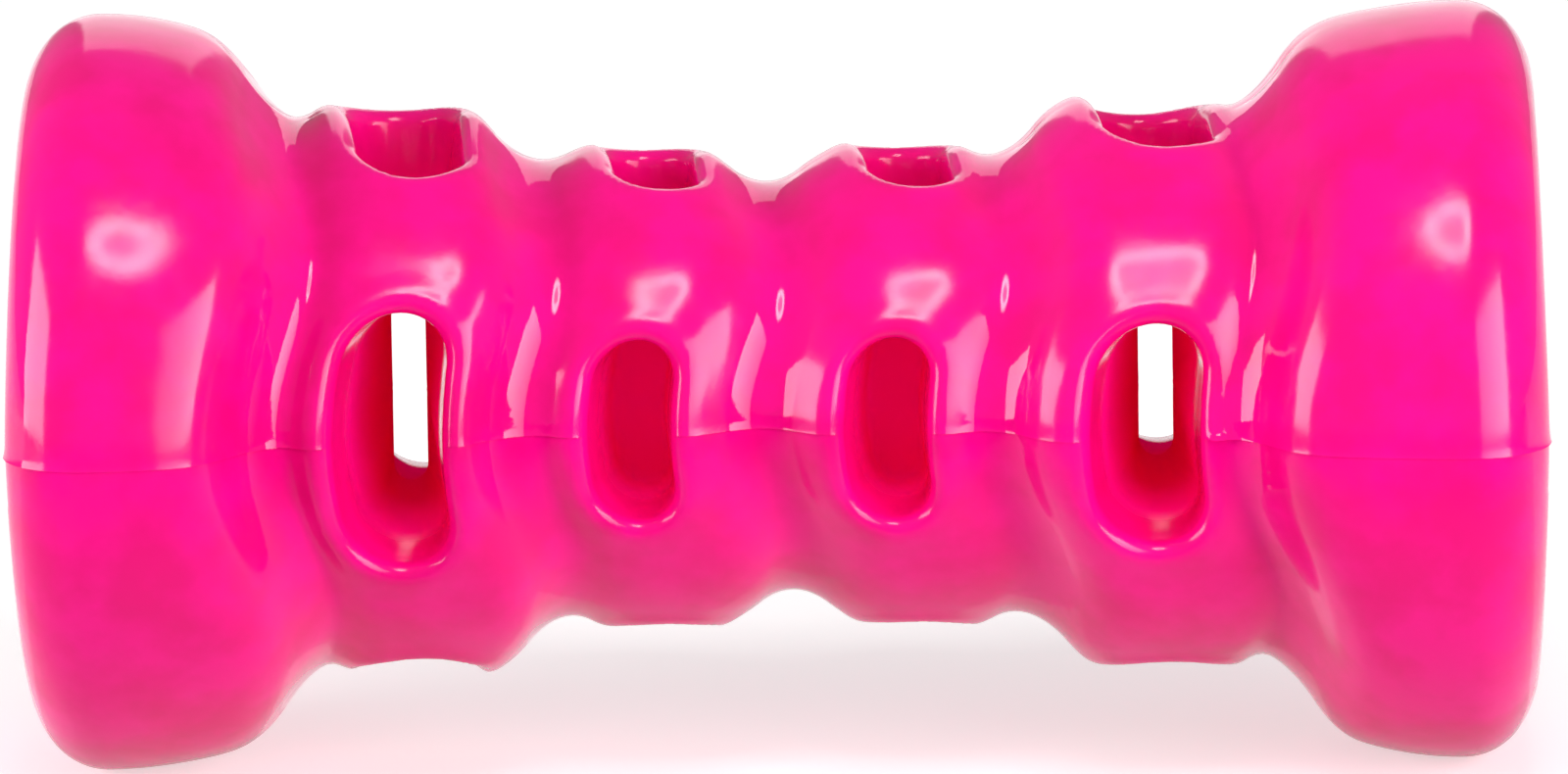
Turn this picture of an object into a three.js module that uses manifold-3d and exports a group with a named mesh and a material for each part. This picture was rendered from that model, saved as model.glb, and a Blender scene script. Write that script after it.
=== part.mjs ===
// Bone-shaped dog toy of soft rubber: two moulded halves, keyed by pegs and bonded on the seam plane.
// Millimetres. X runs along the toy, Y from front to rear, Z is up, and the seam plane is Z = 0.
import * as THREE from "three";
import { mergeVertices } from "three/addons/utils/BufferGeometryUtils.js";
import Module from "manifold-3d";

const wasm = await Module();
wasm.setup();

// Flared ends
const LENGTH = 120;
const FLARE_RADIUS = 30;
const CORNER_RADIUS = 6.4;
const SHOULDER_HEIGHT = 4.2;
const SHOULDER_WIDTH = 9;

// Rings, by their radius and distance from the middle, and the valleys beside them, sunk below the rings
const INNER_RING_X = 10;
const INNER_RING_RADIUS = 19.2;
const OUTER_RING_X = 29.5;
const OUTER_RING_RADIUS = 22.6;
const MID_VALLEY_DEPTH = 3;
const INNER_VALLEY_X = 17.4;
const INNER_VALLEY_DEPTH = 1.1;
const OUTER_VALLEY_X = 37;
const OUTER_VALLEY_DEPTH = 1;

// How the rings wander: they lean, and swing towards -X at the front and rear, where the slots swing less
const RING_LEAN = THREE.MathUtils.degToRad(3.2);
const RING_SWING = 1.95;
const SLOT_SWING = 0.9;
const SWINGS_AROUND = 4;

// Mould draft that leaves a crease at the seam and two planes on each end face
const SEAM_DRAFT = THREE.MathUtils.degToRad(2.5);
const END_DRAFT = THREE.MathUtils.degToRad(1.5);

// Slots in the outer rings: the front and rear ones meet in a neck, the top and bottom ones are blind
const OUTER_SLOT_WIDTH = 8.6;
const LEFT_SLOT_HEIGHT = 20.6;
const RIGHT_SLOT_HEIGHT = 17.8;
const OUTER_POCKET_LENGTH = 19.8;
const OUTER_POCKET_SHIFT = 1.4;
const OUTER_SLOT_LIP = 1.4;
const OUTER_SLOT_DRAFT = THREE.MathUtils.degToRad(5.3);
const OUTER_POCKET_WEB = 1.3;

// Blind pockets all round the inner rings. Each web is what is left past the neighbouring slots' ends
const INNER_SLOT_WIDTH = 6.5;
const INNER_SLOT_HEIGHT = 14.6;
const INNER_FRONT_SHIFT = 0.9;
const INNER_SLOT_LIP = 1.3;
const INNER_SLOT_DRAFT = THREE.MathUtils.degToRad(6.5);
const INNER_POCKET_WEB = 0.2;

// Turn of the top and bottom pockets across their rings
const POCKET_YAW = THREE.MathUtils.degToRad(6);

// Pegs that key the halves, two in each flare
const PEG_X = 46;
const PEG_Y = 13;
const PEG_RADIUS = 3;
const PEG_HEIGHT = 5;
const PEG_CHAMFER = 0.8;
const PEG_CLEARANCE = 0.3;

// Facets
const SEGMENTS_AROUND = 46;
const BANK_STEPS = 6;
const DESCENT_STEPS = 4;
const FLARE_STEPS = 8;
const CORNER_STEPS = 4;
const ARC_STEPS = 6;
const SIDE_STEPS = 4;
const PEG_SEGMENTS = 20;

// Shape of the banks: a fillet in the valley, then a crown that is flatter the higher its power
const VALLEY_FILLET = 2.2;
const INNER_CROWN_POWER = 4;
const OUTER_CROWN_POWER = 6;
const SHOULDER_POWER = 3;
const TAPER_POWER = 1.9;
const STATION_CROWDING = 1.3;

// Rounding left by the cuts, within which a corner counts as lying on the seam plane
const SEAM_TOLERANCE = 1e-4;

const sides = [1, -1];
const TOY_AXIS = new THREE.Vector3(1, 0, 0);
const CREST_X = LENGTH / 2 - CORNER_RADIUS;
const OUTER_VALLEY_RADIUS = OUTER_RING_RADIUS - OUTER_VALLEY_DEPTH;
const RUBBER = new THREE.MeshStandardMaterial({ color: 0xfb1f8c, roughness: 0.2, metalness: 0 });

// Height above a valley at a distance from it, on a bank of some width and height
function climb(distance, width, height, power) {
  const share = width / power;
  const spare = VALLEY_FILLET * (1 / 2 - 1 / power);
  const steepest = (2 * height) / (share + Math.sqrt(share ** 2 + 4 * spare * height));
  const filletWidth = VALLEY_FILLET * steepest;
  if (distance < filletWidth) {
    return distance ** 2 / (2 * VALLEY_FILLET);
  }
  const crownWidth = width - filletWidth;
  const drop = (steepest * crownWidth) / power;
  return height - drop * ((width - distance) / crownWidth) ** power;
}

// Profile points from a valley up to, and not including, a crown
function bank(valley, crown, power, steps = BANK_STEPS) {
  const width = Math.abs(crown.x - valley.x);
  return Array.from({ length: steps }, (_, i) => {
    const t = (i / steps) ** STATION_CROWDING;
    const radius = valley.y + climb(t * width, width, crown.y - valley.y, power);
    return new THREE.Vector2(THREE.MathUtils.lerp(valley.x, crown.x, t), radius);
  });
}

// Profile points from a crown down to, and not including, a valley
function descent(crown, valley, power) {
  return [crown, ...bank(valley, crown, power, DESCENT_STEPS).slice(1).reverse()];
}

// Profile points of a flare, from its valley to, and not including, its crest
function flareFlank() {
  const taper = FLARE_RADIUS - OUTER_VALLEY_RADIUS - SHOULDER_HEIGHT;
  return Array.from({ length: FLARE_STEPS }, (_, i) => {
    const t = (i / FLARE_STEPS) ** STATION_CROWDING;
    const x = THREE.MathUtils.lerp(OUTER_VALLEY_X, CREST_X, t);
    const distance = Math.min(SHOULDER_WIDTH, x - OUTER_VALLEY_X);
    const shoulder = climb(distance, SHOULDER_WIDTH, SHOULDER_HEIGHT, SHOULDER_POWER);
    return new THREE.Vector2(x, OUTER_VALLEY_RADIUS + shoulder + taper * (1 - (1 - t) ** TAPER_POWER));
  });
}

// Round corner between the flare's crest and its flat end face
function corner() {
  return Array.from({ length: CORNER_STEPS + 1 }, (_, i) => {
    const angle = (i / CORNER_STEPS) * Math.PI / 2;
    const x = CREST_X + CORNER_RADIUS * Math.sin(angle);
    return new THREE.Vector2(x, FLARE_RADIUS - CORNER_RADIUS * (1 - Math.cos(angle)));
  });
}

// Half of the outline, from the middle valley to the end face
function halfProfile() {
  const midValley = new THREE.Vector2(0, INNER_RING_RADIUS - MID_VALLEY_DEPTH);
  const innerRing = new THREE.Vector2(INNER_RING_X, INNER_RING_RADIUS);
  const innerValley = new THREE.Vector2(INNER_VALLEY_X, INNER_RING_RADIUS - INNER_VALLEY_DEPTH);
  const outerRing = new THREE.Vector2(OUTER_RING_X, OUTER_RING_RADIUS);
  const outerValley = new THREE.Vector2(OUTER_VALLEY_X, OUTER_VALLEY_RADIUS);
  return [
    ...bank(midValley, innerRing, INNER_CROWN_POWER),
    ...descent(innerRing, innerValley, INNER_CROWN_POWER),
    ...bank(innerValley, outerRing, OUTER_CROWN_POWER),
    ...descent(outerRing, outerValley, OUTER_CROWN_POWER),
    ...flareFlank(),
    ...corner(),
  ];
}

const PROFILE = halfProfile();

// Radius of the outline at a distance along the toy
function radiusAt(x) {
  const distance = Math.abs(x);
  const next = PROFILE.findIndex((point) => point.x > distance);
  if (next < 1) {
    return PROFILE.at(-1).y;
  }
  const [low, high] = [PROFILE[next - 1], PROFILE[next]];
  return THREE.MathUtils.mapLinear(distance, low.x, high.x, low.y, high.y);
}

// How far a swing of some reach moves a place towards -X
function swingAt(reach, y, z) {
  return reach * (Math.abs(y) / OUTER_RING_RADIUS) * Math.cos(SWINGS_AROUND * Math.atan2(z, y));
}

// Bends a turned shape into the moulded one: its swing, its lean, and the mould draft
function mould(geometry, swing, lean) {
  const position = geometry.attributes.position;
  for (let i = 0; i < position.count; i++) {
    const [x, y, z] = [position.getX(i), position.getY(i), position.getZ(i)];
    const radius = Math.hypot(y, z);
    const hold = 1 - THREE.MathUtils.smoothstep(Math.abs(x), OUTER_VALLEY_X, CREST_X);
    const endDraft = Math.tan(END_DRAFT) * Math.max(0, Math.abs(x) - CREST_X) / CORNER_RADIUS;
    const seamDraft = radius > 0 ? Math.tan(SEAM_DRAFT) * Math.abs(z) / radius : 0;
    const wander = hold * (swingAt(swing, y, z) + Math.tan(lean) * z);
    const shift = wander + Math.sign(x) * endDraft * Math.abs(z);
    position.setXYZ(i, x - shift, y * (1 - seamDraft), z);
  }
  return geometry;
}

// Closed three.js geometry as a solid for cutting and joining
function solid(geometry) {
  geometry.deleteAttribute("normal");
  geometry.deleteAttribute("uv");
  const merged = mergeVertices(geometry);
  const triangles = [];
  for (let i = 0; i < merged.index.count; i += 3) {
    const [a, b, c] = [merged.index.getX(i), merged.index.getX(i + 1), merged.index.getX(i + 2)];
    if (a !== b && b !== c && c !== a) {
      triangles.push(a, b, c);
    }
  }
  const vertProperties = new Float32Array(merged.attributes.position.array);
  const triVerts = new Uint32Array(triangles);
  return new wasm.Manifold(new wasm.Mesh({ numProp: 3, vertProperties, triVerts }));
}

// The toy's outline turned about X, with a flat facet at the top and bottom and corners on the seam
function turnedBody() {
  const right = [...PROFILE, new THREE.Vector2(LENGTH / 2, 0)];
  const left = right.slice(1).reverse().map((point) => new THREE.Vector2(-point.x, point.y));
  const outline = [...left, ...right].map((point) => new THREE.Vector2(point.y, point.x));
  const geometry = new THREE.LatheGeometry(outline, SEGMENTS_AROUND, Math.PI / SEGMENTS_AROUND);
  return solid(mould(geometry.rotateZ(-Math.PI / 2), RING_SWING, RING_LEAN));
}

// Outline of a slot with round ends, grown outwards by an offset
function slotOutline(width, height, offset) {
  const radius = width / 2 + offset;
  const centre = (height - width) / 2;
  const points = [];
  for (const side of [1, -1]) {
    for (let i = 0; i <= ARC_STEPS; i++) {
      const angle = (i / ARC_STEPS) * Math.PI;
      points.push([side * radius * Math.cos(angle), side * (centre + radius * Math.sin(angle))]);
    }
    for (let i = 1; i < SIDE_STEPS; i++) {
      points.push([-side * radius, side * centre * (1 - (2 * i) / SIDE_STEPS)]);
    }
  }
  return points;
}

// Levels of a slot's cutter from its flat floor to the rounded lip, out past the surface and to a flat top
function slotLevels(slot) {
  const crown = radiusAt(slot.x);
  const exit = slot.lip;
  const lipAngles = [0, Math.PI / 6, Math.PI / 3];
  const steepest = lipAngles.at(-1);
  const lipDepth = (angle) => slot.lip * (1 - Math.sin(angle));
  const lipOffset = (angle) => slot.lip * (1 - Math.cos(angle));
  const exitOffset = lipOffset(steepest) + (lipDepth(steepest) + exit) * Math.tan(steepest);
  return [
    { flat: slot.floor, offset: -(crown - slot.lip - slot.floor) * Math.tan(slot.draft) },
    ...lipAngles.map((angle) => ({ depth: lipDepth(angle), offset: lipOffset(angle) })),
    { depth: -exit, offset: exitOffset },
    { flat: crown + 2 * exit, offset: exitOffset },
  ];
}

// Closed loft through rings of points, the first ring being the floor and the last the mouth
function loft(rings) {
  const around = rings[0].length;
  const vertices = rings.flat(2);
  const index = [];
  for (let level = 0; level + 1 < rings.length; level++) {
    for (let i = 0; i < around; i++) {
      const [a, b] = [level * around + i, level * around + ((i + 1) % around)];
      index.push(a, b, b + around, a, b + around, a + around);
    }
  }
  const mouth = (rings.length - 1) * around;
  for (let i = 1; i + 1 < around; i++) {
    index.push(0, i + 1, i, mouth, mouth + i, mouth + i + 1);
  }
  const geometry = new THREE.BufferGeometry();
  geometry.setAttribute("position", new THREE.Float32BufferAttribute(vertices, 3));
  geometry.setIndex(index);
  return geometry;
}

// How far out the moulded ring's surface lies over a point of a slot, which swings less and doesn't lean
function surfaceOver(slot, x, y) {
  const place = new THREE.Vector3(x, y, radiusAt(slot.x)).applyAxisAngle(TOY_AXIS, slot.turn);
  const drift = swingAt(RING_SWING - slot.swing, place.y, place.z) + Math.tan(RING_LEAN) * place.z;
  return Math.sqrt(radiusAt(x + drift) ** 2 - y ** 2);
}

// Cutter of one slot, whose lip follows the ring's round surface
function slotCutter(slot) {
  const rings = slotLevels(slot).map((level) =>
    slotOutline(slot.width, slot.height, level.offset).map(([along, across]) => {
      const y = across + slot.shift;
      const x = slot.x + along - Math.tan(slot.yaw) * y;
      const out = level.flat ?? surfaceOver(slot, x, y) - level.depth;
      return [x, y, out];
    }));
  const turned = loft(rings).rotateX(slot.turn);
  return solid(mould(turned, slot.swing, 0));
}

// Slot at the front or the rear
function frontSlot(slot, face) {
  return { ...slot, turn: (face * Math.PI) / 2, swing: SLOT_SWING, yaw: 0, shift: 0 };
}

// Pocket at the top or the bottom, which is turned across its ring
function topPocket(slot, face) {
  const turn = face > 0 ? 0 : Math.PI;
  return { ...slot, turn, swing: 0, yaw: face * POCKET_YAW, shift: face * slot.shift };
}

// Slots of one outer ring, those at the front and rear cut a little past the axis so that they meet
function outerSlots(side) {
  const ring = {
    x: side * OUTER_RING_X,
    width: OUTER_SLOT_WIDTH,
    lip: OUTER_SLOT_LIP,
    draft: OUTER_SLOT_DRAFT,
  };
  const throughHeight = side < 0 ? LEFT_SLOT_HEIGHT : RIGHT_SLOT_HEIGHT;
  const overlap = OUTER_SLOT_LIP / 2;
  const through = { ...ring, height: throughHeight, floor: -overlap };
  const blindFloor = LEFT_SLOT_HEIGHT / 2 + OUTER_POCKET_WEB;
  const blind = { ...ring, height: OUTER_POCKET_LENGTH, floor: blindFloor, shift: side * OUTER_POCKET_SHIFT };
  return sides.flatMap((face) => [frontSlot(through, face), topPocket(blind, face)]);
}

// Pockets of one inner ring
function innerSlots(side) {
  const blind = {
    x: side * INNER_RING_X,
    width: INNER_SLOT_WIDTH,
    height: INNER_SLOT_HEIGHT,
    lip: INNER_SLOT_LIP,
    draft: INNER_SLOT_DRAFT,
    floor: INNER_SLOT_HEIGHT / 2 + INNER_POCKET_WEB,
    shift: 0,
  };
  const front = { ...blind, x: blind.x - INNER_FRONT_SHIFT };
  return sides.flatMap((face) => [frontSlot(front, face), topPocket(blind, face)]);
}

// Round peg standing on the seam plane and rooted a little below it, grown by a clearance for its socket
function peg(x, y, clearance) {
  const radius = PEG_RADIUS + clearance;
  const top = PEG_HEIGHT + clearance;
  const outline = [
    new THREE.Vector2(0, -PEG_HEIGHT),
    new THREE.Vector2(radius, -PEG_HEIGHT),
    new THREE.Vector2(radius, top - PEG_CHAMFER),
    new THREE.Vector2(radius - PEG_CHAMFER, top),
    new THREE.Vector2(0, top),
  ];
  const geometry = new THREE.LatheGeometry(outline, PEG_SEGMENTS).rotateX(Math.PI / 2);
  return solid(geometry.translate(x, y, 0));
}

// Everything above or below the seam plane
function halfSpace(side) {
  const size = 2 * LENGTH;
  return solid(new THREE.BoxGeometry(size, size, size).translate(0, 0, (side * size) / 2));
}

// Named mesh of a solid, with the corners on the seam set exactly on its plane
function moulding(name, body) {
  const { vertProperties, triVerts } = body.getMesh();
  const position = new THREE.Float32BufferAttribute(vertProperties, 3);
  for (let i = 0; i < position.count; i++) {
    if (Math.abs(position.getZ(i)) < SEAM_TOLERANCE) {
      position.setZ(i, 0);
    }
  }
  const geometry = new THREE.BufferGeometry();
  geometry.setAttribute("position", position);
  geometry.setIndex(new THREE.Uint32BufferAttribute(triVerts, 1));
  geometry.computeVertexNormals();
  const mesh = new THREE.Mesh(geometry, RUBBER.clone());
  mesh.name = name;
  return mesh;
}

const slots = sides.flatMap((side) => [...outerSlots(side), ...innerSlots(side)]);
const slotted = slots.reduce((body, slot) => body.subtract(slotCutter(slot)), turnedBody());
const pegPlaces = sides.flatMap((side) => sides.map((face) => [side * PEG_X, face * PEG_Y]));

let upper = slotted.intersect(halfSpace(1));
let lower = slotted.intersect(halfSpace(-1));
for (const [x, y] of pegPlaces) {
  upper = upper.subtract(peg(x, y, PEG_CLEARANCE));
  lower = lower.add(peg(x, y, 0));
}

const toy = new THREE.Group();
toy.add(moulding("upper_half", upper), moulding("lower_half", lower));

export default toy;
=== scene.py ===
"""Bone-shaped dog toy of glossy pink rubber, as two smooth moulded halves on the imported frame."""

import itertools
import math

import bmesh
import bpy
import numpy as np
from mathutils import Matrix, Vector


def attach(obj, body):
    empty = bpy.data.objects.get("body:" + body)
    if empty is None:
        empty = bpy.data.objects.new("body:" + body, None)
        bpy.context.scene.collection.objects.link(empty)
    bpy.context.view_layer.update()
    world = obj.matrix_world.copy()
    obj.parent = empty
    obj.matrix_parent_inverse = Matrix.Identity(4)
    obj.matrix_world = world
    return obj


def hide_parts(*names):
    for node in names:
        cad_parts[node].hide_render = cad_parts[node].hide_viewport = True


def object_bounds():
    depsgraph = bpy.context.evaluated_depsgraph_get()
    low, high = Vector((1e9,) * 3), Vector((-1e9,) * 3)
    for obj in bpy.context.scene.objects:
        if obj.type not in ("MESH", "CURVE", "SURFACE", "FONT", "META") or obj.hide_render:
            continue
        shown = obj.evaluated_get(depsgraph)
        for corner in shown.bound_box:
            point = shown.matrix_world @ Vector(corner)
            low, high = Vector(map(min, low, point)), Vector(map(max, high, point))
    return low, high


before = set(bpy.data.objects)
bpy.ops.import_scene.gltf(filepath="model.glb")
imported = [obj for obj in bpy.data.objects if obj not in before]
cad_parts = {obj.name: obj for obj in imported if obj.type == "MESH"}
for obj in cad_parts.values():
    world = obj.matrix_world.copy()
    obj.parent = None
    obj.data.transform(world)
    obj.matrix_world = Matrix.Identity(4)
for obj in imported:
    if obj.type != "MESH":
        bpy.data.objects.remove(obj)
cad_low, cad_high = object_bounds()

MM = 0.001

# Flared ends, in millimetres like every size of the toy below
HALF_LENGTH = cad_high.x / MM
FLARE_RADIUS = cad_high.y / MM
CORNER_RADIUS = 6.4
CORNER_BLEND = 2.5
SHOULDER_HEIGHT = 4.2
SHOULDER_WIDTH = 9.0
CREST_X = HALF_LENGTH - CORNER_RADIUS

# Rings and the valleys beside them
INNER_RING_X = 10.0
INNER_RING_RADIUS = 19.2
OUTER_RING_X = 29.5
OUTER_RING_RADIUS = 22.6
MID_VALLEY_RADIUS = 16.2
INNER_VALLEY_X = 17.4
INNER_VALLEY_RADIUS = 18.1
OUTER_VALLEY_X = 37.0
OUTER_VALLEY_RADIUS = 21.6

# Shape of the banks between valleys and crowns, and of the flare's taper
VALLEY_FILLET = 3.4
INNER_CROWN_POWER = 2.8
OUTER_CROWN_POWER = 4.5
SHOULDER_POWER = 3.0
TAPER_POWER = 1.9

# Table of the outline: its step, its softening, and its end before the corner gets too steep
PROFILE_STEP = 0.02
PROFILE_BLUR = 0.35
BLUR_REACH = 3 * PROFILE_BLUR
PROFILE_REACH = HALF_LENGTH - CORNER_RADIUS / 4

# How the rings wander, and the mould's draft, with its crease at the seam rounded
RING_SWING = 1.95
SLOT_SWING = 0.9
RING_LEAN = math.tan(math.radians(3.2))
SEAM_DRAFT = math.tan(math.radians(2.5))
END_DRAFT = math.tan(math.radians(1.5))
SEAM_ROUNDING = 1.0
UNMOULD_ROUNDS = 3
TINY = 1e-9

# Slots: mouth width, lip rounding, wall draft and the floor's distance from the axis
OUTER_SLOT = {"width": 8.6, "lip": 1.4, "draft": math.tan(math.radians(8.0)), "floor": 11.6}
INNER_SLOT = {"width": 6.5, "lip": 1.3, "draft": math.tan(math.radians(6.5)), "floor": 7.5}

# Slots' lengths, and how far they stand off their rings' middles
LEFT_OUTER_HEIGHT = 20.6
RIGHT_OUTER_HEIGHT = 17.8
INNER_HEIGHT = 14.6
OUTER_POCKET_LENGTH = 19.8
OUTER_POCKET_SHIFT = 1.4
INNER_FRONT_SHIFT = 0.9
POCKET_YAW = math.tan(math.radians(6.0))
FLOOR_ROUNDING = 0.5
SLOT_BORDER_X = 20.0

# Low bead round each slot
BEAD_HEIGHT = 0.22
BEAD_OFFSET = 1.5
BEAD_WIDTH = 1.3

# Seam: the upper half's edge has a ridge, higher at the ends, and a nub of flash
RIDGE_HEIGHT = 0.06
RIDGE_WIDTH = 0.35
END_RIDGE = 0.08
NUB = {"x": 34.3, "width": 0.8, "height": 0.7}

# The lower half's edge stands back a little, and both edges are made within this reach of the seam
LOWER_SHRINK = 0.04
SEAM_REACH = 4.0
SEAM_TOLERANCE = 0.00001

# Mesh
GRID_STEP = 0.5
GRID_MARGIN = 2.0
RELAX_ROUNDS = 3
NEWTON_STEPS = 4
GRADIENT_STEP = 0.02
LEAST_SLOPE_SQUARED = 0.05

# Photograph's view, in its 1600 by 790 frame
FRAME_WIDTH = 1600
FRAME_HEIGHT = 790
CAMERA_AZIMUTH = math.radians(1.3)
CAMERA_ELEVATION = math.radians(12.0)
CAMERA_ROLL = math.radians(0.84)
CAMERA_DISTANCE = 1.23
TOY_WIDTH_PIXELS = 1548
TOY_CENTRE_PIXELS = (798.5, 393.0)
SENSOR_WIDTH = 36.0

# Rubber, with the outline's bend where wear gives way to gloss and the depth where a slot gets dull
RUBBER_COLOUR = (0.97, 0.002, 0.26, 1)
RUBBER_SHADE = (0.86, 0.002, 0.195, 1)
# Deep in the slots a brighter pink: painted light standing in for light that reaches into them
SLOT_PAINTED_LIGHT_COLOUR = (0.97, 0.003, 0.33, 1)
CROWN_ROUGHNESS = 0.12
VALLEY_ROUGHNESS = 0.02
PEEL_ROUGHNESS = 0.05
SLOT_ROUGHNESS = 0.5
MOULD_SPECULAR = 0.36
SLOT_SPECULAR = 0.0
VALLEY_BEND = (0.0, 0.1)
SLOT_DEPTH = (4.5, 7.5)

# Rubber's unevenness: noises, the stretch of each that shows, and the bumps' heights in metres
MOTTLE = {"scale": 160, "detail": 5}
MOTTLE_RANGE = (0.35, 0.6)
PEEL = {"scale": 700, "detail": 2}
PEEL_RANGE = (0.3, 0.7)
PEEL_BUMP = 0.00001
WAVES = {"scale": 110, "detail": 1}
WAVE_BUMP = 0.00016

# Studio, in metres, and the bounces that light needs to reach the bottom of the slots
FLOOR_SIZE = 8.0
FLOOR_COLOUR = (0.7, 0.7, 0.7, 1)
FLOOR_GLOW = 0.57
# Card: painted shade, a black sheet seen in reflections alone, for the floor's shade before and under
# the toy
CARD_SIZE = 4.0
CARD_LIFT = 0.001
CARD_FADE_Y = (-0.09, 0.04)
WORLD_FRONT = 0.18
WORLD_REAR = 0.25
WORLD_BLEND = 0.5
SLOT_BOUNCES = 16

# Lights: degrees from the front towards +X, degrees up, metres from the toy's middle, size and radiance
LEFT_PANEL = {"azimuth": -77, "elevation": 8, "distance": 0.6, "size": (0.37, 0.42), "radiance": 7.0}
RIGHT_PANEL = {"azimuth": 41, "elevation": 11, "distance": 0.6, "size": (0.42, 0.48), "radiance": 9.0}
KEY = {"azimuth": 4, "elevation": 58, "distance": 0.62, "size": (0.22, 0.22), "radiance": 16.0}
REAR_PANEL = {"azimuth": 180, "elevation": 22, "distance": 0.7, "size": (0.34, 0.56), "radiance": 1.2}

# Strength left on the right panel's side by the camera
PANEL_FADE = 0.3

# Key light's soft ring, in shares of its width, and the strength left in its middle
KEY_HOLE_RADIUS = 0.2
KEY_HOLE_FADE = 0.06
KEY_RADIUS = 0.5
KEY_RIM_FADE = 0.12
KEY_MIDDLE = 0.25


def bank(x, valley, crown, power):
    """Radius from a valley with a fillet up to a crown, which is flatter the higher its power."""
    width = abs(crown[0] - valley[0])
    height = crown[1] - valley[1]
    spare = VALLEY_FILLET * (0.5 - 1 / power)
    share = width / power
    # Slope where the fillet runs into the crown without a kink
    steepest = 2 * height / (share + math.sqrt(share**2 + 4 * spare * height))
    fillet_width = VALLEY_FILLET * steepest
    crown_width = width - fillet_width
    from_valley = np.clip(np.abs(x - valley[0]), 0, width)
    in_valley = valley[1] + from_valley**2 / (2 * VALLEY_FILLET)
    drop = steepest * crown_width / power
    on_crown = crown[1] - drop * ((width - from_valley) / crown_width) ** power
    return np.where(from_valley < fillet_width, in_valley, on_crown)


def smoothstep(value, low, high):
    t = np.clip((value - low) / (high - low), 0, 1)
    return t * t * (3 - 2 * t)


def flare_radius(x):
    """Radius of a flare between its valley and its crest, and of the round corner past the crest."""
    valley = (OUTER_VALLEY_X, OUTER_VALLEY_RADIUS)
    top = (OUTER_VALLEY_X + SHOULDER_WIDTH, OUTER_VALLEY_RADIUS + SHOULDER_HEIGHT)
    t = np.clip((x - OUTER_VALLEY_X) / (CREST_X - OUTER_VALLEY_X), 0, 1)
    taper = (FLARE_RADIUS - top[1]) * (1 - (1 - t) ** TAPER_POWER)
    past = np.clip((x - CREST_X) / CORNER_RADIUS, 0, 1)
    corner = CORNER_RADIUS * (1 - np.sqrt(1 - past**2))
    return bank(x, valley, top, SHOULDER_POWER) + taper - corner


def turned_radius(x):
    """Radius of the turned outline at the distance x from the middle."""
    mid_valley = (0.0, MID_VALLEY_RADIUS)
    inner_ring = (INNER_RING_X, INNER_RING_RADIUS)
    inner_valley = (INNER_VALLEY_X, INNER_VALLEY_RADIUS)
    outer_ring = (OUTER_RING_X, OUTER_RING_RADIUS)
    outer_valley = (OUTER_VALLEY_X, OUTER_VALLEY_RADIUS)
    stretches = [x < INNER_RING_X, x < INNER_VALLEY_X, x < OUTER_RING_X, x < OUTER_VALLEY_X]
    banks = [
        bank(x, mid_valley, inner_ring, INNER_CROWN_POWER),
        bank(x, inner_valley, inner_ring, INNER_CROWN_POWER),
        bank(x, inner_valley, outer_ring, OUTER_CROWN_POWER),
        bank(x, outer_valley, outer_ring, OUTER_CROWN_POWER),
    ]
    return np.select(stretches, banks, flare_radius(x))


def profile_table():
    """Even steps along half of the toy, with the outline's softened radius, its slope and its bend."""
    steps = round(PROFILE_REACH / PROFILE_STEP)
    x = np.arange(-steps, steps + 1) * PROFILE_STEP
    spread = np.arange(-BLUR_REACH, BLUR_REACH, PROFILE_STEP) / PROFILE_BLUR
    weights = np.exp(-spread**2 / 2)
    radius = turned_radius(np.abs(x))
    padded = np.pad(radius, len(weights), mode="edge")
    soft = np.convolve(padded, weights / weights.sum(), mode="same")[len(weights):-len(weights)]
    slope = np.gradient(soft, PROFILE_STEP)
    bend = np.gradient(slope, PROFILE_STEP)
    return x[steps:], soft[steps:], slope[steps:], bend[steps:]


PROFILE_X, PROFILE_RADIUS, PROFILE_SLOPE, PROFILE_BEND = profile_table()


def round_max(a, b, radius):
    """The larger of two distances, with the edge where they meet rounded."""
    inner = np.minimum(-radius, np.maximum(a, b))
    return inner + np.hypot(np.maximum(radius + a, 0), np.maximum(radius + b, 0))


def unmould(points):
    """Points taken back to the turned body: x of the body, x of the slots, y and radius."""
    x, y, z = points.T
    height = np.hypot(z, SEAM_ROUNDING) - SEAM_ROUNDING
    turned_y = y
    for _ in range(UNMOULD_ROUNDS):
        radius = np.hypot(turned_y, z) + TINY
        turned_y = y / (1 - SEAM_DRAFT * height / radius)
    radius = np.hypot(turned_y, z) + TINY
    # Four waves round the toy: the cosine of four times an angle, by the square of its own cosine
    square = (turned_y / radius) ** 2
    waves = 8 * square**2 - 8 * square + 1
    swing = np.abs(turned_y) / OUTER_RING_RADIUS * waves
    body_x = x
    slot_x = x
    for _ in range(UNMOULD_ROUNDS):
        body_hold = 1 - smoothstep(np.abs(body_x), OUTER_VALLEY_X, CREST_X)
        slot_hold = 1 - smoothstep(np.abs(slot_x), OUTER_VALLEY_X, CREST_X)
        end = END_DRAFT * np.clip((np.abs(body_x) - CREST_X) / CORNER_RADIUS, 0, 1) * height
        body_x = x + body_hold * (RING_SWING * swing + RING_LEAN * z) + np.sign(x) * end
        slot_x = x + slot_hold * SLOT_SWING * swing
    return body_x, slot_x, turned_y, radius


def body_distance(x, radius):
    """Signed distance to the turned body, negative inside."""
    along = np.abs(x)
    outline = np.interp(along, PROFILE_X, PROFILE_RADIUS)
    slope = np.interp(along, PROFILE_X, PROFILE_SLOPE)
    flank = (radius - outline) / np.sqrt(1 + slope**2)
    past = along - CREST_X
    above = radius - (FLARE_RADIUS - CORNER_RADIUS)
    outside = np.hypot(np.maximum(past, 0), np.maximum(above, 0))
    corner = outside + np.minimum(np.maximum(past, above), 0) - CORNER_RADIUS
    blend = smoothstep(past, 0, CORNER_BLEND)
    return flank + (corner - flank) * blend


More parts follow.
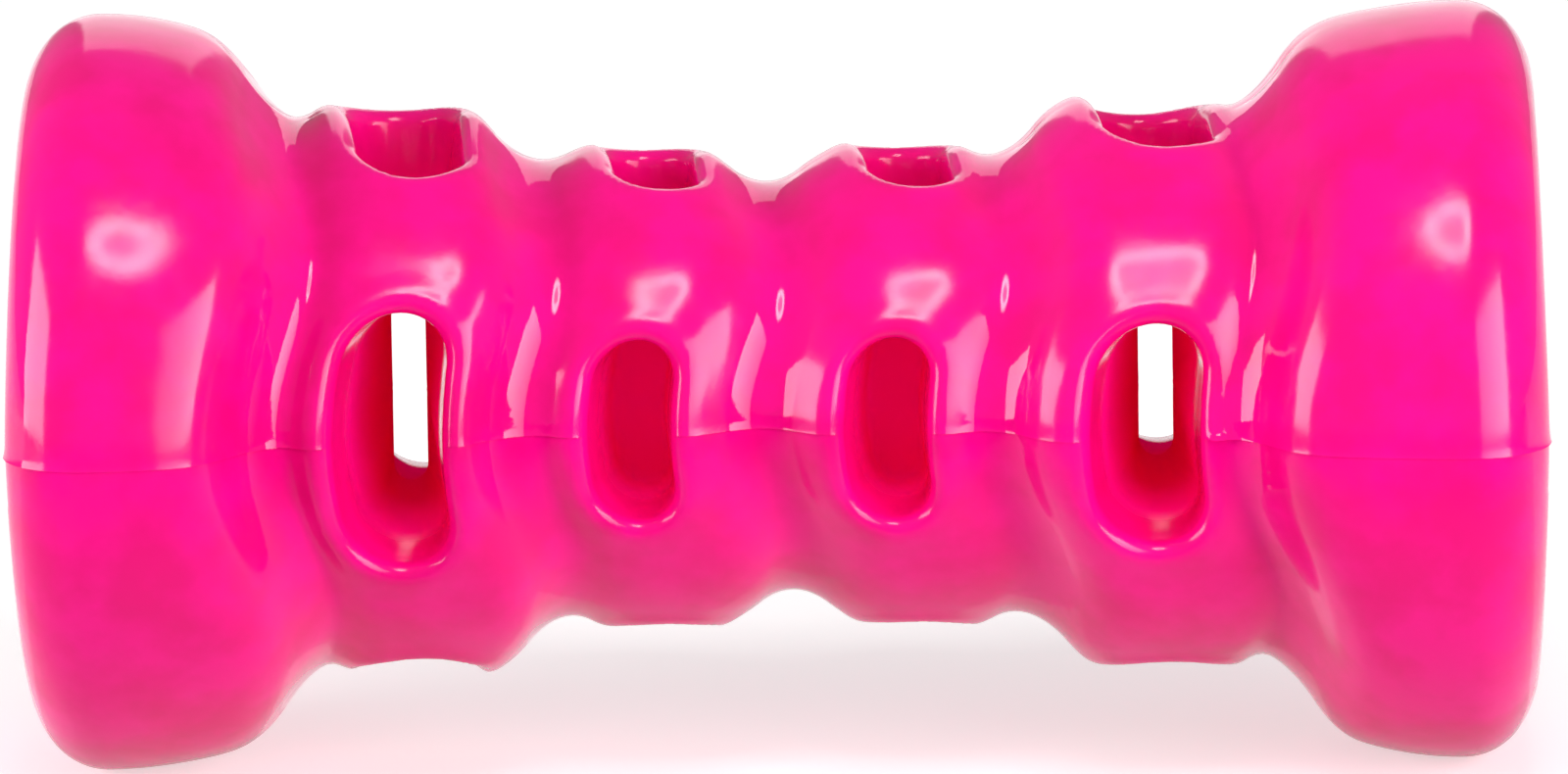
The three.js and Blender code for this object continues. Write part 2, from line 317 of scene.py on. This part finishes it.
def slot_walls(slot, height, crown, along, across, out):
    """Signed distance to a slot's drafted walls, negative in the slot."""
    straight = (height - slot["width"]) / 2
    half_width = slot["width"] / 2 - (crown - slot["lip"] - out) * slot["draft"]
    return np.hypot(along, np.maximum(np.abs(across) - straight, 0)) - half_width


def pocket(slot, height, crown, along, across, out):
    """Signed distance to a blind slot, negative in the slot."""
    walls = slot_walls(slot, height, crown, along, across, out)
    return round_max(walls, slot["floor"] - out, FLOOR_ROUNDING)


def slots_distance(x, slot_x, y, z):
    """Signed distance to the nearest slot: front and rear ones swing, top and bottom ones turn."""
    turned_x = x + POCKET_YAW * y
    inner_x = slot_x + INNER_FRONT_SHIFT
    front = np.abs(y)
    up = np.abs(z)
    slots = []
    for side, height in ((-1, LEFT_OUTER_HEIGHT), (1, RIGHT_OUTER_HEIGHT)):
        outer = side * OUTER_RING_X
        inner = side * INNER_RING_X
        pocket_y = y - side * OUTER_POCKET_SHIFT
        slots += [
            slot_walls(OUTER_SLOT, height, OUTER_RING_RADIUS, slot_x - outer, z, front),
            pocket(OUTER_SLOT, OUTER_POCKET_LENGTH, OUTER_RING_RADIUS, turned_x - outer, pocket_y, up),
            pocket(INNER_SLOT, INNER_HEIGHT, INNER_RING_RADIUS, inner_x - inner, z, front),
            pocket(INNER_SLOT, INNER_HEIGHT, INNER_RING_RADIUS, turned_x - inner, y, up),
        ]
    return np.minimum.reduce(slots)


def seam_offset(points, side):
    """How far the surface of one half stands out near the seam."""
    if side < 0:
        return np.full(len(points), -LOWER_SHRINK)
    x, y, z = points.T
    end = END_RIDGE * smoothstep(np.abs(x), CREST_X, HALF_LENGTH)
    nub = NUB["height"] * np.exp(-(((x - NUB["x"]) / NUB["width"]) ** 2)) * (y < 0)
    return (RIDGE_HEIGHT + end + nub) * np.exp(-z / RIDGE_WIDTH)


def toy_distance(points, side=0):
    """Signed distance to the toy, negative in the rubber, or to one half with its edge at the seam."""
    body_x, slot_x, y, radius = unmould(points)
    slots = slots_distance(points[:, 0], slot_x, y, points[:, 2])
    bead = BEAD_HEIGHT * np.exp(-(((slots - BEAD_OFFSET) / BEAD_WIDTH) ** 2))
    body = body_distance(body_x, radius) - bead
    lip = np.where(np.abs(slot_x) < SLOT_BORDER_X, INNER_SLOT["lip"], OUTER_SLOT["lip"])
    if side:
        body -= seam_offset(points, side)
    return round_max(body, -slots, lip)


def grid_axis(reach):
    steps = math.ceil((reach + GRID_MARGIN) / GRID_STEP)
    return np.arange(-steps, steps + 1) * GRID_STEP


def grid_values(axes):
    """The toy's distance at every point of a grid, one slice along the toy at a time."""
    y, z = np.meshgrid(axes[1], axes[2], indexing="ij")
    slices = []
    for x in axes[0]:
        points = np.column_stack([np.full(y.size, x), y.ravel(), z.ravel()])
        slices.append(toy_distance(points).reshape(y.shape))
    return np.stack(slices)


def crossed_cells(inside):
    """Marks the cells that have some of their eight corners inside and some outside."""
    shape = tuple(n - 1 for n in inside.shape)
    count = np.zeros(shape, dtype=int)
    for i, j, k in itertools.product((0, 1), repeat=3):
        count += inside[i:i + shape[0], j:j + shape[1], k:k + shape[2]]
    return (count > 0) & (count < 8)


def axis_quads(inside, number, axis):
    """Quads round the crossed edges along one axis, facing outwards."""
    before = np.moveaxis(inside, axis, 0)[:-1]
    after = np.moveaxis(inside, axis, 0)[1:]
    cells = np.moveaxis(number, axis, 0)
    quads = []
    for start, end, flip in ((before, after, False), (after, before, True)):
        edges = np.argwhere(start & ~end)
        around = [(0, 0), (-1, 0), (-1, -1), (0, -1)]
        if flip == (axis != 1):
            around.reverse()
        corners = [cells[edges[:, 0], edges[:, 1] + b, edges[:, 2] + c] for b, c in around]
        quads.append(np.column_stack(corners))
    return np.concatenate(quads)


def surface_net(values):
    """Crossed cells and quads of the zero surface: one vertex a cell, one quad for each crossed edge."""
    inside = values < 0
    crossed = crossed_cells(inside)
    number = np.full(crossed.shape, -1)
    number[crossed] = np.arange(crossed.sum())
    quads = [axis_quads(inside, number, axis) for axis in range(3)]
    return np.argwhere(crossed), np.concatenate(quads)


def gradient(points, side=0):
    """Slope of the toy's distance at each point."""
    columns = []
    for axis in np.eye(3) * GRADIENT_STEP:
        columns.append(toy_distance(points + axis, side) - toy_distance(points - axis, side))
    return np.column_stack(columns) / (2 * GRADIENT_STEP)


def onto_surface(points, side=0):
    """Points moved along the slope to the surface, or for one half kept in their own level planes."""
    for _ in range(NEWTON_STEPS):
        slope = gradient(points, side)
        if side:
            slope[:, 2] = 0
        length = np.maximum((slope**2).sum(axis=1), LEAST_SLOPE_SQUARED)
        points = points - slope * (toy_distance(points, side) / length)[:, None]
    return points


def relaxed(points, quads):
    """Points spread evenly over the surface by averaging each with its neighbours."""
    pairs = np.concatenate([quads[:, [i, (i + 1) % 4]] for i in range(4)])
    degree = np.bincount(pairs.ravel(), minlength=len(points))
    for _ in range(RELAX_ROUNDS):
        total = np.zeros_like(points)
        for axis in range(3):
            total[:, axis] = np.bincount(pairs[:, 0], points[pairs[:, 1], axis], len(points))
            total[:, axis] += np.bincount(pairs[:, 1], points[pairs[:, 0], axis], len(points))
        points = onto_surface((points + total / degree[:, None]) / 2)
    return points


def toy_surface():
    """Vertices and quads of the whole toy's surface."""
    axes = [grid_axis(HALF_LENGTH), grid_axis(FLARE_RADIUS), grid_axis(FLARE_RADIUS)]
    cells, quads = surface_net(grid_values(axes))
    start = np.array([axis[0] for axis in axes])
    points = onto_surface(start + (cells + 0.5) * GRID_STEP)
    return relaxed(points, quads), quads


def half_mesh(name, points, quads, side):
    """One half of the toy: the surface cut on the seam plane and closed there."""
    bm = bmesh.new()
    verts = [bm.verts.new(p) for p in points.tolist()]
    for quad in quads.tolist():
        bm.faces.new([verts[i] for i in quad])
    whole = bm.verts[:] + bm.edges[:] + bm.faces[:]
    away = (0, 0, -side)
    cut = bmesh.ops.bisect_plane(bm, geom=whole, plane_co=(0, 0, 0), plane_no=away, clear_outer=True)
    rim = [e for e in cut["geom_cut"] if isinstance(e, bmesh.types.BMEdge)]
    bmesh.ops.triangle_fill(bm, edges=rim, use_beauty=True, use_dissolve=False)
    bmesh.ops.recalc_face_normals(bm, faces=bm.faces[:])
    mesh = bpy.data.meshes.new(name)
    bm.to_mesh(mesh)
    bm.free()
    finish_half(mesh, side)
    return mesh


def finish_half(mesh, side):
    """Vertices near the seam set on the half's own surface, the toy's scale, normals and attributes."""
    points = np.empty(len(mesh.vertices) * 3)
    mesh.vertices.foreach_get("co", points)
    points = points.reshape(-1, 3)
    seam = np.abs(points[:, 2]) < SEAM_TOLERANCE
    near = np.abs(points[:, 2]) < SEAM_REACH
    points[near] = onto_surface(points[near], side)
    mesh.vertices.foreach_set("co", (points * MM).ravel())
    mesh.polygons.foreach_set("use_smooth", [True] * len(mesh.polygons))
    set_normals(mesh, points, seam, side)
    set_rubber_attributes(mesh, points)
    mesh.update()


def set_normals(mesh, points, seam, side):
    """True normals of the surface, taken just off the seam plane, and flat ones on the seam's face."""
    probe = points.copy()
    probe[:, 2] = side * np.maximum(side * probe[:, 2], 2 * GRADIENT_STEP)
    normals = gradient(probe, side)
    normals /= np.linalg.norm(normals, axis=1)[:, None]
    loop_vertex = np.empty(len(mesh.loops), dtype=np.int32)
    mesh.loops.foreach_get("vertex_index", loop_vertex)
    loop_normals = normals[loop_vertex]
    for face in mesh.polygons:
        if all(seam[v] for v in face.vertices):
            loop_normals[face.loop_start:face.loop_start + face.loop_total] = (0, 0, -side)
    mesh.normals_split_custom_set(loop_normals.tolist())


def set_rubber_attributes(mesh, points):
    """How deep in a slot each vertex lies, and how worn it is, for the rubber's material."""
    body_x, _, _, radius = unmould(points)
    bend = np.interp(np.abs(body_x), PROFILE_X, PROFILE_BEND)
    set_attribute(mesh, "slot_depth", smoothstep(-body_distance(body_x, radius), *SLOT_DEPTH))
    set_attribute(mesh, "wear", 1 - smoothstep(bend, *VALLEY_BEND))


def set_attribute(mesh, name, values):
    layer = mesh.attributes.new(name, "FLOAT", "POINT")
    layer.data.foreach_set("value", values)


def link(name, data):
    piece = bpy.data.objects.new(name, data)
    bpy.context.scene.collection.objects.link(piece)
    return piece


def make_halves():
    """Both halves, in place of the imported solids."""
    points, quads = toy_surface()
    rubber = rubber_material()
    for node, side in (("upper_half", 1), ("lower_half", -1)):
        mesh = half_mesh("moulded_" + node, points, quads, side)
        mesh.materials.append(rubber)
        piece = link("moulded_" + node, mesh)
        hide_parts(node)
        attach(piece, "root")


def new_material(name):
    """A material, its node tree and its shader."""
    material = bpy.data.materials.new(name)
    material.use_nodes = True
    tree = material.node_tree
    return material, tree, tree.nodes["Principled BSDF"]


def attribute(tree, name):
    node = tree.nodes.new("ShaderNodeAttribute")
    node.attribute_name = name
    return node.outputs["Fac"]


def component(tree, vector, axis):
    node = tree.nodes.new("ShaderNodeSeparateXYZ")
    tree.links.new(vector, node.inputs["Vector"])
    return node.outputs[axis]


def combined(tree, operation, first, second):
    node = tree.nodes.new("ShaderNodeMath")
    node.operation = operation
    tree.links.new(first, node.inputs[0])
    tree.links.new(second, node.inputs[1])
    return node.outputs["Value"]


def mapped(tree, value, low, high, to_low, to_high):
    node = tree.nodes.new("ShaderNodeMapRange")
    for name, number in zip(("From Min", "From Max", "To Min", "To Max"), (low, high, to_low, to_high)):
        node.inputs[name].default_value = number
    tree.links.new(value, node.inputs["Value"])
    return node.outputs["Result"]


def noise(tree, place, settings):
    node = tree.nodes.new("ShaderNodeTexNoise")
    node.inputs["Scale"].default_value = settings["scale"]
    node.inputs["Detail"].default_value = settings["detail"]
    tree.links.new(place, node.inputs["Vector"])
    return node.outputs["Fac"]


def bump(tree, height, distance):
    node = tree.nodes.new("ShaderNodeBump")
    node.inputs["Distance"].default_value = distance
    tree.links.new(height, node.inputs["Height"])
    return node


def rubber_colour_and_painted_light(tree, mottle, depth):
    """Pink with a faint mottle, and deep in the slots a brighter pink, painted light standing in for
    light that reaches into them.
    """
    tint = tree.nodes.new("ShaderNodeMix")
    tint.data_type = "RGBA"
    tint.inputs["A"].default_value = RUBBER_SHADE
    tint.inputs["B"].default_value = RUBBER_COLOUR
    tree.links.new(mapped(tree, mottle, *MOTTLE_RANGE, 0, 1), tint.inputs["Factor"])
    # Painted light: the brighter pink, mixed in by how deep in a slot the surface lies
    inside = tree.nodes.new("ShaderNodeMix")
    inside.data_type = "RGBA"
    inside.inputs["B"].default_value = SLOT_PAINTED_LIGHT_COLOUR
    tree.links.new(depth, inside.inputs["Factor"])
    tree.links.new(tint.outputs["Result"], inside.inputs["A"])
    return inside.outputs["Result"]


def rubber_roughness(tree, peel, depth):
    """Glossy valleys, slightly worn crowns and dull slots."""
    worn = mapped(tree, attribute(tree, "wear"), 0, 1, VALLEY_ROUGHNESS, CROWN_ROUGHNESS)
    uneven = combined(tree, "ADD", worn, mapped(tree, peel, *PEEL_RANGE, 0, PEEL_ROUGHNESS))
    rough = tree.nodes.new("ShaderNodeMix")
    rough.inputs["B"].default_value = SLOT_ROUGHNESS
    tree.links.new(depth, rough.inputs["Factor"])
    tree.links.new(uneven, rough.inputs["A"])
    return rough.outputs["Result"]


def rubber_material():
    """Glossy pink rubber with an uneven moulded surface, duller in the slots."""
    material, tree, shader = new_material("pink_rubber")
    place = tree.nodes.new("ShaderNodeTexCoord").outputs["Object"]
    mottle = noise(tree, place, MOTTLE)
    peel = noise(tree, place, PEEL)
    waves = noise(tree, place, WAVES)
    depth = attribute(tree, "slot_depth")
    tree.links.new(rubber_colour_and_painted_light(tree, mottle, depth), shader.inputs["Base Color"])
    tree.links.new(rubber_roughness(tree, peel, depth), shader.inputs["Roughness"])
    specular = mapped(tree, depth, 0, 1, MOULD_SPECULAR, SLOT_SPECULAR)
    tree.links.new(specular, shader.inputs["Specular IOR Level"])
    fine = bump(tree, peel, PEEL_BUMP)
    coarse = bump(tree, waves, WAVE_BUMP)
    tree.links.new(coarse.outputs["Normal"], fine.inputs["Normal"])
    tree.links.new(fine.outputs["Normal"], shader.inputs["Normal"])
    return material


def make_sheet(name, size, material):
    """A flat square piece of the studio."""
    bm = bmesh.new()
    bmesh.ops.create_grid(bm, x_segments=1, y_segments=1, size=size / 2)
    mesh = bpy.data.meshes.new(name)
    bm.to_mesh(mesh)
    bm.free()
    mesh.materials.append(material)
    sheet = link(name, mesh)
    return sheet


def make_floor():
    floor = make_sheet("studio_floor", FLOOR_SIZE, floor_material())
    floor.location.z = cad_low.z


def make_painted_shade_card():
    """A dark card on the floor before the toy, which shows in reflections alone: painted shade standing
    in for the floor's shade before and partly under the toy.
    """
    card = make_sheet("painted_shade_card", CARD_SIZE, painted_shade_card_material())
    card.location = (0, -CARD_SIZE / 2, cad_low.z + CARD_LIFT)
    card.visible_camera = False
    card.visible_diffuse = False
    card.visible_transmission = False
    card.visible_volume_scatter = False
    card.visible_shadow = False


def floor_material():
    """Pale floor that looks whiter to the camera and in reflections, without lighting the toy more."""
    material, tree, shader = new_material("studio_floor")
    shader.inputs["Roughness"].default_value = 1.0
    shader.inputs["Specular IOR Level"].default_value = 0.0
    shader.inputs["Base Color"].default_value = FLOOR_COLOUR
    shader.inputs["Emission Color"].default_value = (1, 1, 1, 1)
    path = tree.nodes.new("ShaderNodeLightPath")
    seen = path.outputs["Is Camera Ray"]
    for name in ("Is Glossy Ray", "Is Transmission Ray"):
        seen = combined(tree, "MAXIMUM", seen, path.outputs[name])
    tree.links.new(mapped(tree, seen, 0, 1, 0, FLOOR_GLOW), shader.inputs["Emission Strength"])
    return material


def painted_shade_card_material():
    """Painted shade: black that fades out towards the toy."""
    material, tree, shader = new_material("painted_shade_card")
    shader.inputs["Base Color"].default_value = (0, 0, 0, 1)
    shader.inputs["Specular IOR Level"].default_value = 0.0
    place = tree.nodes.new("ShaderNodeTexCoord").outputs["Object"]
    far, near = (y + CARD_SIZE / 2 for y in CARD_FADE_Y)
    fade = mapped(tree, component(tree, place, "Y"), far, near, 1, 0)
    fade.node.interpolation_type = "SMOOTHSTEP"
    tree.links.new(fade, shader.inputs["Alpha"])
    return material


def direction(azimuth, elevation):
    """Unit vector from the toy's middle, by its angle from the front towards +X and its angle up."""
    level = math.cos(elevation)
    return Vector((math.sin(azimuth) * level, -math.cos(azimuth) * level, math.sin(elevation)))


def area_light(name, settings, shape="RECTANGLE"):
    """An area light that faces the toy's middle."""
    azimuth = math.radians(settings["azimuth"])
    elevation = math.radians(settings["elevation"])
    place = direction(azimuth, elevation) * settings["distance"]
    width, height = settings["size"]
    data = bpy.data.lights.new(name, "AREA")
    data.shape = shape
    data.size = width
    data.size_y = height
    share = math.pi / 4 if shape == "DISK" else 1.0
    data.energy = settings["radiance"] * math.pi * width * height * share
    light = link(name, data)
    turn = (-place).to_track_quat("-Z", "Y")
    light.matrix_world = Matrix.Translation(place) @ turn.to_matrix().to_4x4()
    return light


def light_nodes(light):
    """A light's node tree, its strength and the place on its face, from 0 to 1 both ways."""
    light.data.use_nodes = True
    tree = light.data.node_tree
    place = tree.nodes.new("ShaderNodeNewGeometry").outputs["Parametric"]
    return tree, tree.nodes["Emission"].inputs["Strength"], place


def open_middle(light):
    """Makes a disk light a soft ring by dimming its middle and its rim."""
    tree, strength, place = light_nodes(light)
    middle = tree.nodes.new("ShaderNodeVectorMath")
    middle.operation = "DISTANCE"
    middle.inputs[1].default_value = (0.5, 0.5, 0)
    tree.links.new(place, middle.inputs[0])
    radius = middle.outputs["Value"]
    hole = mapped(tree, radius, KEY_HOLE_RADIUS, KEY_HOLE_RADIUS + KEY_HOLE_FADE, KEY_MIDDLE, 1)
    rim = mapped(tree, radius, KEY_RADIUS - KEY_RIM_FADE, KEY_RADIUS, 1, 0)
    tree.links.new(combined(tree, "MULTIPLY", hole, rim), strength)


def fade_across(light):
    """Dims a panel light towards the camera's side."""
    tree, strength, place = light_nodes(light)
    tree.links.new(mapped(tree, component(tree, place, "X"), 0, 1, PANEL_FADE, 1), strength)


def make_lights():
    area_light("left_panel", LEFT_PANEL)
    fade_across(area_light("right_panel", RIGHT_PANEL))
    open_middle(area_light("key", KEY, "DISK"))
    area_light("rear", REAR_PANEL)


def make_world():
    """A soft light from all round, a little stronger from behind the toy."""
    world = bpy.data.worlds.new("studio")
    bpy.context.scene.world = world
    world.use_nodes = True
    tree = world.node_tree
    background = tree.nodes["Background"]
    background.inputs["Color"].default_value = (1, 1, 1, 1)
    place = tree.nodes.new("ShaderNodeTexCoord").outputs["Generated"]
    level = mapped(tree, component(tree, place, "Y"), -WORLD_BLEND, WORLD_BLEND, WORLD_FRONT, WORLD_REAR)
    tree.links.new(level, background.inputs["Strength"])


def make_camera():
    """The photograph's view, with the toy as wide and at the same place in the frame."""
    back = direction(CAMERA_AZIMUTH, CAMERA_ELEVATION)
    level = Vector((math.cos(CAMERA_AZIMUTH), math.sin(CAMERA_AZIMUTH), 0))
    right = Matrix.Rotation(-CAMERA_ROLL, 3, back) @ level
    up = back.cross(right)
    data = bpy.data.cameras.new("camera")
    data.sensor_fit = "HORIZONTAL"
    data.sensor_width = SENSOR_WIDTH
    metres_per_pixel = (cad_high.x - cad_low.x) / TOY_WIDTH_PIXELS
    data.lens = SENSOR_WIDTH * CAMERA_DISTANCE / (metres_per_pixel * FRAME_WIDTH)
    aside = (FRAME_WIDTH / 2 - TOY_CENTRE_PIXELS[0]) * metres_per_pixel
    above = (TOY_CENTRE_PIXELS[1] - FRAME_HEIGHT / 2) * metres_per_pixel
    place = back * CAMERA_DISTANCE + right * aside + up * above
    camera = link("camera", data)
    camera.matrix_world = Matrix.Translation(place) @ Matrix((right, up, back)).transposed().to_4x4()
    bpy.context.scene.camera = camera


make_camera()
make_halves()
make_floor()
make_painted_shade_card()
make_lights()
make_world()
bpy.context.scene.view_settings.view_transform = "Standard"
bpy.context.scene.cycles.max_bounces = SLOT_BOUNCES
bpy.context.scene.cycles.diffuse_bounces = SLOT_BOUNCES
